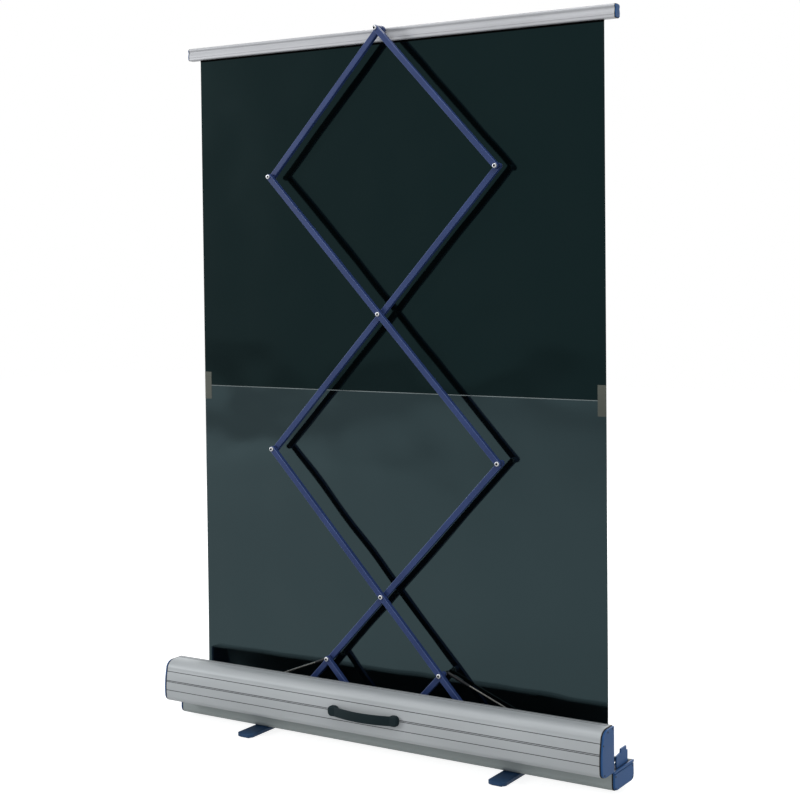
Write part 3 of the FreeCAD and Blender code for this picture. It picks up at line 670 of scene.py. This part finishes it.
def base_cap(side, end):
    """Base's end cap with its ledge on a black band of painted shade, and the stepped plate that guides the
    lid.
    """
    node = "base_end_cap_" + end
    low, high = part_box(node)
    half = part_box("lid_shell")[1].x
    lip = high.z - PLATE_RISE

    def trough(top):
        chain = [(high.y, top)]
        for centre, first in ((high.y - TROUGH_CORNER, 0), (low.y + TROUGH_CORNER, -90)):
            chain += [(centre + TROUGH_CORNER * math.cos(t), low.z + TROUGH_CORNER * (1 + math.sin(t)))
                      for t in arc(first, first - 91, -CORNER_TURN)]
        return chain + [(low.y, top)]

    ledge_low = lip - LEDGE_HEIGHT
    ledge = [(high.y, lip), (high.y, ledge_low), (low.y, ledge_low), (low.y, lip)]
    plates = [drawn_in(trough(ledge_low - LEDGE_GAP), CAP_INSET), ledge]
    bm = bmesh.new()
    outside = add_shade_gap_and_plates(bm, side, trough(lip), plates)
    across = (low.y + BASE_SCREW_INSET, high.y - BASE_SCREW_INSET)
    upward = (low.z + BASE_SCREW_INSET, ledge_low - BASE_SCREW_INSET)
    add_cap_screws(bm, side, outside, [(y, z) for y in across for z in upward])
    rear = high.y - PLATE_REAR
    front = rear - PLATE_WIDTH
    tab_rear, tab_front = (rear - distance for distance in PLATE_TAB)
    root = low.z + PLATE_ROOT
    shoulder = high.z - PLATE_STEP
    plate = [(rear, root), (rear, shoulder), (tab_rear, shoulder + PLATE_SLOPE), (tab_rear, high.z),
             (tab_front, high.z), (tab_front, shoulder), (front, shoulder), (front, root)]
    inner = add_prism(bm, plate, (side * (half - PLATE_DEPTH), side * half))[0]
    round_edges(bm, edges_within(bm, inner), THIN_CAP_ROUND, segments=2)
    add_piece("base_cap_" + end, bm, [BLUE_PLASTIC, BLACK_AND_SHADE], body_of(node), [node])


def handle():
    """Bowed strap and the rounded pads at its ends."""
    low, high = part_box("handle_caps")
    strap_low, strap_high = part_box("handle_strap")
    middle = (strap_low + strap_high) / 2
    bm = node_mesh("handle_strap")
    wider = (high.z - low.z - 2 * STRAP_INSET) / (strap_high.z - strap_low.z)
    bmesh.ops.scale(bm, vec=(1, 1, wider), space=Matrix.Translation(-middle), verts=bm.verts)
    round_edges(bm, sharp_edges(bm), STRAP_ROUND)
    add_piece("handle_bow", bm, [RUBBER], body_of("handle_strap"), ["handle_strap"])
    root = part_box("lid_shell")[1].y - PAD_ROOT
    bm = bmesh.new()
    for side, end in SIDES:
        near, far = sorted((side * high.x, side * (high.x - PAD_LENGTH)))
        verts = add_box(bm, (near, root, low.z), (far, high.y, high.z))
        upright = [e for e in edges_within(bm, verts) if abs(e.verts[0].co.y - e.verts[1].co.y) > PAD_ROUND]
        round_edges(bm, upright, PAD_ROUND, segments=6)
    rim = [e for e in sharp_edges(bm) if all(v.co.y > high.y - WELD for v in e.verts)]
    round_edges(bm, rim, PAD_EDGE, segments=4)
    add_piece("handle_pads", bm, [RUBBER], body_of("handle_caps"), ["handle_caps"])


# Top bar

def bar_inset(drop, tall):
    """How far the bar's side lies inside its widest line at a distance below its top."""
    inset = BAR_SETBACK if drop > BAR_RIDGE_DROP else 0.0
    for reach, radius in ((drop, BAR_TOP_ROUND), (tall - drop, BAR_LOW_ROUND)):
        if reach < radius:
            inset += radius - math.sqrt(radius ** 2 - (radius - reach) ** 2)
    width = BAR_WAIST_ABOVE if drop < BAR_WAIST_DROP else BAR_WAIST_BELOW
    return inset + BAR_WAIST * math.exp(-((drop - BAR_WAIST_DROP) / width) ** 2)


def bar_outline():
    """The bar's outline, down its rear side and up its front side."""
    low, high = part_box("top_bar")
    tall = high.z - low.z
    count = round(tall / BAR_STEP)
    drops = [tall * k / count for k in range(count + 1)]
    rear = [(high.y - bar_inset(drop, tall), high.z - drop) for drop in drops]
    return rear + [(low.y + high.y - y, z) for y, z in reversed(rear)]


def bar_piece():
    """Top bar and its end caps on black bands of painted shade, short enough to close between the base's
    plates.
    """
    outline = bar_outline()
    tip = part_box("lid_shell")[1].x - PLATE_DEPTH - BAR_END_GAP
    shade_end = tip - BAR_CAP
    length = shade_end - BAR_SHADE_GAP
    bm = bmesh.new()
    add_prism(bm, outline, (-length, length))
    add_piece("bar_extrusion", bm, [BAR_ALUMINIUM], body_of("top_bar"), ["top_bar"])
    middle = sum((Vector(point) for point in outline), Vector((0, 0))) / len(outline)
    share = 1 - CAP_INSET / (max(z for y, z in outline) - middle.y)
    plate = [tuple(middle + (Vector(point) - middle) * share) for point in outline]
    for side, end in SIDES:
        node = "bar_end_cap_" + end
        bm = bmesh.new()
        add_prism(bm, outline, (side * length, side * shade_end))
        # The band between bar and cap is black: painted shade of the gap.
        for face in bm.faces:
            face.material_index = 1
        rim = add_prism(bm, plate, (side * shade_end, side * tip))[1]
        round_edges(bm, edges_within(bm, rim), THIN_CAP_ROUND, segments=2)
        add_piece("bar_cap_" + end, bm, [BLUE_PLASTIC, BLACK_AND_SHADE], body_of(node), [node])


# Scissor frame

def strut_sockets():
    """Black sockets that carry the struts' rods on the brace pivots."""
    pivots = {"left": joint_at["lower_rear_turn"], "right": joint_at["lower_front_turn"]}
    outline = [(place * STRUT_SOCKET_RADIUS, share * STRUT_SOCKET_RADIUS)
               for place, share in STRUT_SOCKET_TIP]
    outline += [(place * STRUT_SOCKET_LENGTH, share * STRUT_SOCKET_RADIUS)
                for place, share in STRUT_SOCKET_STEM]
    for end, pivot in pivots.items():
        swing = joint_at["strut_swing_" + end]
        tip = Vector((pivot.x, swing.y, pivot.z))
        along = (swing - tip).normalized()
        bm = bmesh.new()
        add_turned(bm, tip - along * STRUT_SOCKET_RADIUS, along, outline, RING)
        add_piece("strut_socket_" + end, bm, [BLACK_PLASTIC], body_of("strut_rod_" + end))


def hexagon_point(turn, width):
    """Point of a hexagon's edge, in its own plane, seen from the centre at an angle."""
    sector = (turn + math.pi / 6) % (math.pi / 3) - math.pi / 6
    reach = width / 2 / math.cos(sector)
    return reach * math.cos(turn), reach * math.sin(turn)


def pivot_screw(name, point, rear_y, front_y, washer_range, body):
    """Button-head screw with a hexagon socket, a washer between the layers, and a nut at the front."""
    bm = bmesh.new()
    x, z = point
    turns = [2 * math.pi * k / RING for k in range(RING)]

    def ring(y, radius):
        return [bm.verts.new((x + radius * math.cos(a), y, z + radius * math.sin(a))) for a in turns]

    def hexagon(y, width):
        return [bm.verts.new((x + u, y, z + v)) for u, v in (hexagon_point(a, width) for a in turns)]

    def bridge(low, high, material_index=0):
        for k in range(RING):
            face = bm.faces.new((low[k], low[k - 1], high[k - 1], high[k]))
            face.material_index = material_index

    top = rear_y + HEAD_HEIGHT
    dome = [ring(rear_y, HEAD_RADIUS), ring(rear_y + HEAD_EDGE * HEAD_HEIGHT, HEAD_RADIUS)]
    for step in DOME_RINGS:
        height = HEAD_HEIGHT * (HEAD_EDGE + (1 - HEAD_EDGE) * step)
        dome.append(ring(rear_y + height, HEAD_FLAT + (HEAD_RADIUS - HEAD_FLAT) * math.sqrt(1 - step ** 2)))
    rim = hexagon(top, SOCKET_WIDTH)
    floor = hexagon(top - SOCKET_DEPTH, SOCKET_WIDTH)
    for low, high in zip(dome, dome[1:]):
        bridge(low, high)
    bridge(dome[-1], rim)
    # The socket's walls and floor are black: painted shade in the recess.
    bridge(rim, floor, 1)
    bm.faces.new(floor).material_index = 1
    bm.faces.new(dome[0])
    start = Vector((x, front_y - NUT_HEIGHT, z))
    add_turned(bm, start, (0, 1, 0), ((0, SHANK_RADIUS), (rear_y - start.y, SHANK_RADIUS)), RING)
    low, high = washer_range
    add_turned(bm, (x, low, z), (0, 1, 0), ((0, WASHER_RADIUS), (high - low, WASHER_RADIUS)), RING, 1)
    near = hexagon(front_y, NUT_WIDTH)
    far = hexagon(front_y - NUT_HEIGHT, NUT_WIDTH)
    bridge(near, far)
    bm.faces.new(near)
    bm.faces.new(far)
    add_piece(name, bm, [ZINC, BLACK_AND_SHADE], body)


def arm_piece(node, start, end, layer, width):
    """Rectangular tube with round ends and softened edges between two pivots, the edges painted lighter as
    a painted highlight.
    """
    bm = bmesh.new()
    along = (end - start).normalized()
    across = Vector((-along.z, 0, along.x))
    half = width / 2
    outline = []
    for centre, first in ((end, 90), (start, 270)):
        for turn in arc(first, first - 181, -ARM_TURN):
            outline.append(centre + (along * math.cos(turn) + across * math.sin(turn)) * half)
    add_slab(bm, outline, layer)
    round_edges(bm, sharp_edges(bm), ARM_ROUND, segments=4)
    bm.normal_update()
    for face in bm.faces:
        # Rounded edge faces get the lighter blue: a painted highlight along the arms' edges.
        face.material_index = int(HIGHLIGHT_TILT < abs(face.normal.y) < 1 - HIGHLIGHT_TILT / 2)
    add_piece(node + "_tube", bm, [BLUE_PAINT, EDGE_HIGHLIGHT_PAINT], body_of(node), [node])


def build_frame():
    """Arms, screws and the boss at the apex."""
    base = joint_at["fold"]
    apex = joint_at["top_bar_turn"]
    brace = {1: joint_at["lower_front_turn"], -1: joint_at["lower_rear_turn"]}
    low = {1: joint_at["shoe_right_turn"], -1: joint_at["shoe_left_turn"]}
    mid = {1: joint_at["upper_front_turn"], -1: joint_at["upper_rear_turn"]}
    high = {1: joint_at["top_front_turn"], -1: joint_at["top_rear_turn"]}
    front_low, front_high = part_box("brace_front")
    width = front_high.z - front_low.z - (brace[-1].z - base.z)
    plane = base.y
    layers = {"front": (front_low.y, front_high.y),
              "rear": (2 * plane - front_high.y, 2 * plane - front_low.y)}
    for layer, rise in (("rear", 1), ("front", -1)):
        arm_piece("lower_arm_" + layer, low[-rise], mid[rise], layers[layer], width)
        arm_piece("upper_arm_" + layer, mid[-rise], high[rise], layers[layer], width)
        arm_piece("top_arm_" + layer, high[-rise], apex, layers[layer], width)
        arm_piece("brace_" + layer, base, brace[rise], layers[layer], width)
    lower_cross = Vector((0, plane, (low[1].z + mid[1].z) / 2))
    upper_cross = Vector((0, plane, (mid[1].z + high[1].z) / 2))
    rear_y = layers["rear"][1]
    front_y = layers["front"][0]
    washer = (layers["front"][1], layers["rear"][0])
    for name, point, node in (
        ("screw_brace_left", brace[-1], "lower_arm_rear"),
        ("screw_cross_low", lower_cross, "lower_arm_rear"),
        ("screw_mid_right", mid[1], "lower_arm_rear"),
        ("screw_brace_right", brace[1], "brace_rear"),
        ("screw_mid_left", mid[-1], "upper_arm_rear"),
        ("screw_cross_high", upper_cross, "upper_arm_rear"),
        ("screw_high_right", high[1], "upper_arm_rear"),
        ("screw_high_left", high[-1], "top_arm_rear"),
        ("screw_apex", apex, "apex_bracket"),
    ):
        pivot_screw(name, (point.x, point.z), rear_y, front_y, washer, body_of(node))
    build_apex(front_y, apex)


def build_apex(front_y, apex):
    """Boss with a round top, and its flange on the bar, that join the top arms to the bar."""
    low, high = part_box("apex_bracket")
    half = high.z - apex.z
    step = low.y + BOSS_FLANGE
    bm = bmesh.new()
    for radius, y_range in ((half - BOSS_FLANGE_RIM, (low.y, step)), (half, (step, front_y - BOSS_GAP))):
        outline = [Vector((radius * math.cos(t), 0, apex.z + radius * math.sin(t)))
                   for t in arc(0, 181, ARM_TURN)]
        outline += [Vector((side * radius, 0, apex.z - radius)) for side, end in SIDES]
        add_slab(bm, outline, y_range)
    round_edges(bm, sharp_edges(bm), BOSS_ROUND)
    add_piece("apex_block", bm, [BLUE_PAINT], body_of("apex_bracket"), ["apex_bracket"])


# Cloth

def cloth_wave(x, z, low, high):
    """How far the drop sheet stands off its plane: slack low down, most of it towards the -X side."""
    height = (z - low) / (high - low)
    slack = math.exp(-((height - SLACK_AT) / SLACK_SPREAD) ** 2)
    side = SLACK_LEAST + (1 - SLACK_LEAST) * max(0.0, -x / abs(cad_low.x)) ** 2
    ripple = sum(share * math.sin(x * along + z * up + start) for along, up, start, share in RIPPLES)
    return SLACK_DEPTH * slack * side * (1 + ripple) / 2


def grid_lines(start, end, marks):
    """Evenly spaced places from start to end, with a line at each mark instead of one close to it."""
    fixed = [start, end] + list(marks)
    count = max(2, round((end - start) / CLOTH_STEP))
    even = [start + (end - start) * k / count for k in range(count + 1)]
    kept = [v for v in even if all(abs(v - mark) > CLOTH_STEP / 3 for mark in fixed)]
    return sorted(set(kept + fixed))


def cloth_grid(node, wave, x_marks=(), z_marks=()):
    """Thin two-sided sheet over a CAD sheet's box, with grid lines at the marks."""
    low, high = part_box(node)
    xs = grid_lines(low.x, high.x, x_marks)
    zs = grid_lines(low.z, high.z, z_marks)
    bm = bmesh.new()
    sides = []
    for y in (low.y, high.y):
        sides.append([[bm.verts.new((x, y + wave(x, z), z)) for x in xs] for z in zs])
    for side, grid in enumerate(sides):
        for below, above in zip(grid, grid[1:]):
            for k in range(len(xs) - 1):
                corners = (below[k], below[k + 1], above[k + 1], above[k])
                face = bm.faces.new(corners if side == 0 else tuple(reversed(corners)))
                face.material_index = 1 - side
    rims = []
    for grid in sides:
        upward = [row[-1] for row in grid[1:]]
        downward = [row[0] for row in grid[-2:0:-1]]
        rims.append(grid[0] + upward + grid[-1][-2::-1] + downward)
    front, back = rims
    for k in range(len(front)):
        bm.faces.new((front[k - 1], front[k], back[k], back[k - 1]))
    return bm


def build_cloth():
    """Projection sheet, drop sheet, their seam, the tapes at its ends, and the roll on the roller."""
    screen_low, screen_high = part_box("screen_sheet")
    drop_low, drop_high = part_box("drop_sheet")
    bar_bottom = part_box("top_bar")[0].z

    def still(x, z):
        return 0.0

    def slack(x, z):
        return cloth_wave(x, z, drop_low.z, drop_high.z)

    left = screen_low.x + BORDER
    right = screen_high.x - BORDER
    floor = screen_low.z + BORDER
    ceiling = screen_high.z - TOP_BORDER
    bm = cloth_grid("screen_sheet", still, (left, right), (floor, ceiling))
    for face in bm.faces:
        centre = face.calc_center_median()
        inside = left < centre.x < right and floor < centre.z < ceiling
        if face.material_index == 1 and inside:
            face.material_index = 2
    screen = add_piece("projection_sheet", bm, [BACK_CLOTH, FRONT_BLACK, FRONT_WHITE],
                       body_of("screen_sheet"), ["screen_sheet"])
    bm = cloth_grid("drop_sheet", slack)
    drop = add_piece("drop_cloth", bm, [DROP_CLOTH, FRONT_BLACK], body_of("drop_sheet"), ["drop_sheet"])
    bm = bmesh.new()
    add_box(bm, (drop_low.x, drop_high.y, drop_high.z - SEAM_HEIGHT / 2),
            (drop_high.x, drop_high.y + SEAM_PROUD, drop_high.z + SEAM_HEIGHT / 2))
    seam = add_piece("seam_weld", bm, [SEAM_LINE], body_of("drop_sheet"))
    # Black strip across the sheet just under the bar: a painted shadow of the bar.
    bm = bmesh.new()
    add_box(bm, (drop_low.x, screen_low.y - SHADOW_STRIP_PROUD, bar_bottom - SHADOW_STRIP_HEIGHT),
            (drop_high.x, screen_high.y + SHADOW_STRIP_PROUD, bar_bottom))
    add_piece("painted_shadow_under_bar", bm, [UNDER_BAR_SHADOW], body_of("top_bar"))
    tapes = refined("seam_tapes", TAPE_CLOTH, TAPE_EDGE, segments=1)
    for piece in (screen, drop, seam, tapes):
        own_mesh(piece)
    build_roll()


def build_roll():
    """Last turns of cloth on the roller, with the spiral of its edge showing at both ends."""
    low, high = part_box("wound_sheet")
    tube_low, tube_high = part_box("roller_tube")
    centre = Vector((0, (low.y + high.y) / 2, (low.z + high.z) / 2))
    outer = (high.z - low.z) / 2
    inner = (tube_high.z - tube_low.z) / 2
    bm = bmesh.new()
    outline = []
    for side, end in SIDES:
        offset = 0.5 * (side > 0)
        ends = []
        for k in range(ROLL_TURNS + 1):
            radius = inner + (outer - inner) * (k + offset) / (ROLL_TURNS + 0.5)
            ends.append((side * (high.x - ROLL_STEP * (k % 2)), radius))
        outline += ends if side < 0 else list(reversed(ends))
    add_turned(bm, centre, (1, 0, 0), outline, ROLL_RING, closed=False)
    add_piece("cloth_roll", bm, [DROP_CLOTH], body_of("wound_sheet"), ["wound_sheet"])


# Rigid pieces

def build_rigid():
    """Case, bar, handle and sockets, and the CAD nodes that keep their shape with softened edges."""
    for node, made, width in (
        # The base shell gets the darker aluminium: painted shade under the lid.
        ("base_shell", SHADED_BASE_ALUMINIUM, THIN_EDGE),
        ("base_bracket", ZINC, SMALL_EDGE),
        ("strut_anchors", ZINC, SMALL_EDGE),
        ("latch_clips", BLACK_PLASTIC, SMALL_EDGE),
        ("roller_tube", TRACK_ALUMINIUM, SMALL_EDGE),
        ("sheet_spline", BLACK_PLASTIC, THIN_EDGE),
    ):
        refined(node, made, width)
    bar_piece()
    lid_piece()
    handle()
    strut_sockets()
    for side, end in SIDES:
        lid_cap(side, end)
        base_cap(side, end)
    for side, end in SIDES:
        for node, made, width in (
            ("foot_", NAVY_PAINT, FOOT_EDGE),
            ("foot_pads_", PAD_RUBBER, SMALL_EDGE),
            ("slide_track_", TRACK_ALUMINIUM, THIN_EDGE),
            ("slider_shoe_", BLACK_PLASTIC, MOULDED_EDGE),
            ("strut_cylinder_", BLACK_PAINT, MOULDED_EDGE),
            ("strut_rod_", ROD_STEEL, SMALL_EDGE),
            ("roller_bracket_", ZINC, SMALL_EDGE),
        ):
            refined(node + end, made, width)


# Stage

def glow(tree, socket, lighting, mirrored, seen):
    """Strength of a surface where it only lights, where it is mirrored, and where the camera sees it."""
    path = tree.nodes.new("ShaderNodeLightPath")
    level = None
    rays = (("Is Glossy Ray", mirrored), ("Is Transmission Ray", seen), ("Is Camera Ray", seen))
    for ray, strength in rays:
        part = tree.nodes.new("ShaderNodeMath")
        part.operation = "MULTIPLY_ADD"
        part.inputs[1].default_value = strength - lighting
        part.inputs[2].default_value = lighting
        tree.links.new(path.outputs[ray], part.inputs[0])
        if level:
            tree.links.new(level, part.inputs[2])
        level = part.outputs["Value"]
    tree.links.new(level, socket)


def build_stage():
    """White floor and background, one main light from the left of the camera, and soft fill."""
    scene = bpy.context.scene
    scene.view_settings.view_transform = "Standard"
    world = bpy.data.worlds.new("studio")
    scene.world = world
    world.use_nodes = True
    sky = world.node_tree.nodes["Background"]
    sky.inputs["Color"].default_value = WHITE
    glow(world.node_tree, sky.inputs["Strength"], *WORLD_GLOW)

    bm = bmesh.new()
    bmesh.ops.create_grid(bm, x_segments=1, y_segments=1, size=FLOOR_HALF)
    mesh = bpy.data.meshes.new("floor")
    bm.to_mesh(mesh)
    bm.free()
    floor = bpy.data.objects.new("floor", mesh)
    scene.collection.objects.link(floor)
    pale = new_material("floor_pale", Roughness=0.9, Specular_IOR_Level=0.0, Base_Color=FLOOR_GREY,
                        Emission_Color=WHITE)
    shader = pale.node_tree.nodes["Principled BSDF"]
    glow(pale.node_tree, shader.inputs["Emission Strength"], *FLOOR_GLOW)
    mesh.materials.append(pale)
    for light in LIGHTS:
        add_light(*light)


def add_light(name, place, target, size, power):
    """Square soft light aimed at a point."""
    data = bpy.data.lights.new(name, "AREA")
    data.size = size
    data.energy = power
    light = bpy.data.objects.new(name, data)
    light.location = place
    light.rotation_mode = "QUATERNION"
    light.rotation_quaternion = (Vector(target) - Vector(place)).to_track_quat("-Z", "Y")
    bpy.context.scene.collection.objects.link(light)


def build_camera():
    """Camera at the photograph's place, pitched and rolled a little, with the view shifted down."""
    data = bpy.data.cameras.new("camera")
    data.lens = LENS
    data.sensor_width = SENSOR
    data.shift_y = (PRINCIPAL_Y - PICTURE / 2) / PICTURE
    camera = bpy.data.objects.new("camera", data)
    ahead = Vector((math.sin(CAMERA_TURN), -math.cos(CAMERA_TURN), 0))
    plumb = Vector((0, 0, 1))
    forward = ahead * math.cos(CAMERA_PITCH) - plumb * math.sin(CAMERA_PITCH)
    upright = plumb * math.cos(CAMERA_PITCH) + ahead * math.sin(CAMERA_PITCH)
    right = ahead.cross(plumb) * math.cos(CAMERA_ROLL) + upright * math.sin(CAMERA_ROLL)
    up = right.cross(forward)
    turn = Matrix((right, up, -forward)).transposed().to_4x4()
    camera.matrix_world = Matrix.Translation(CAMERA_AT) @ turn
    bpy.context.scene.collection.objects.link(camera)
    bpy.context.scene.camera = camera


build_frame()
build_cloth()
build_rigid()
build_stage()
build_camera()
